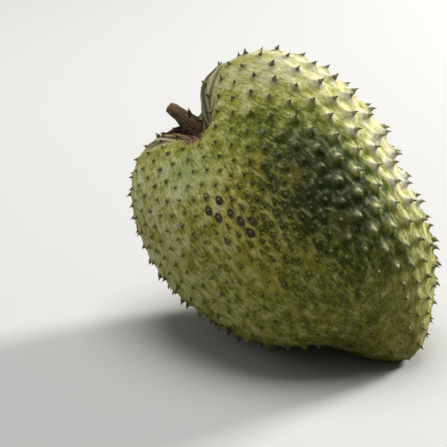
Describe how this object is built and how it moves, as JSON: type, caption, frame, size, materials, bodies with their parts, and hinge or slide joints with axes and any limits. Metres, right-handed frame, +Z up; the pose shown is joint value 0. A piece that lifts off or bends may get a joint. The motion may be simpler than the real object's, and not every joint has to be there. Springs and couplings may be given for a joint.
{
  "type": "soursop",
  "caption": "Whole ripe-green soursop, a lopsided heart-shaped tropical fruit with a soft-spined leathery skin and a short woody stalk, lying on its side.",
  "frame": {"origin": "middle of the flat spot that the fruit rests on, on the ground", "axes": "+Z up; +X points from the stalk's end towards the fruit's tip, along the ground; -Y is the side where the carpels stayed small"},
  "size_m": [0.2103, 0.1704, 0.1823],
  "materials": {
    "soursop_skin": "satin",
    "stalk_wood": "rough, unfinished bark"
  },
  "bodies": {
    "root": {"fruit": "soursop_skin", "stalk": "stalk_wood"}
  },
  "joints": []
}
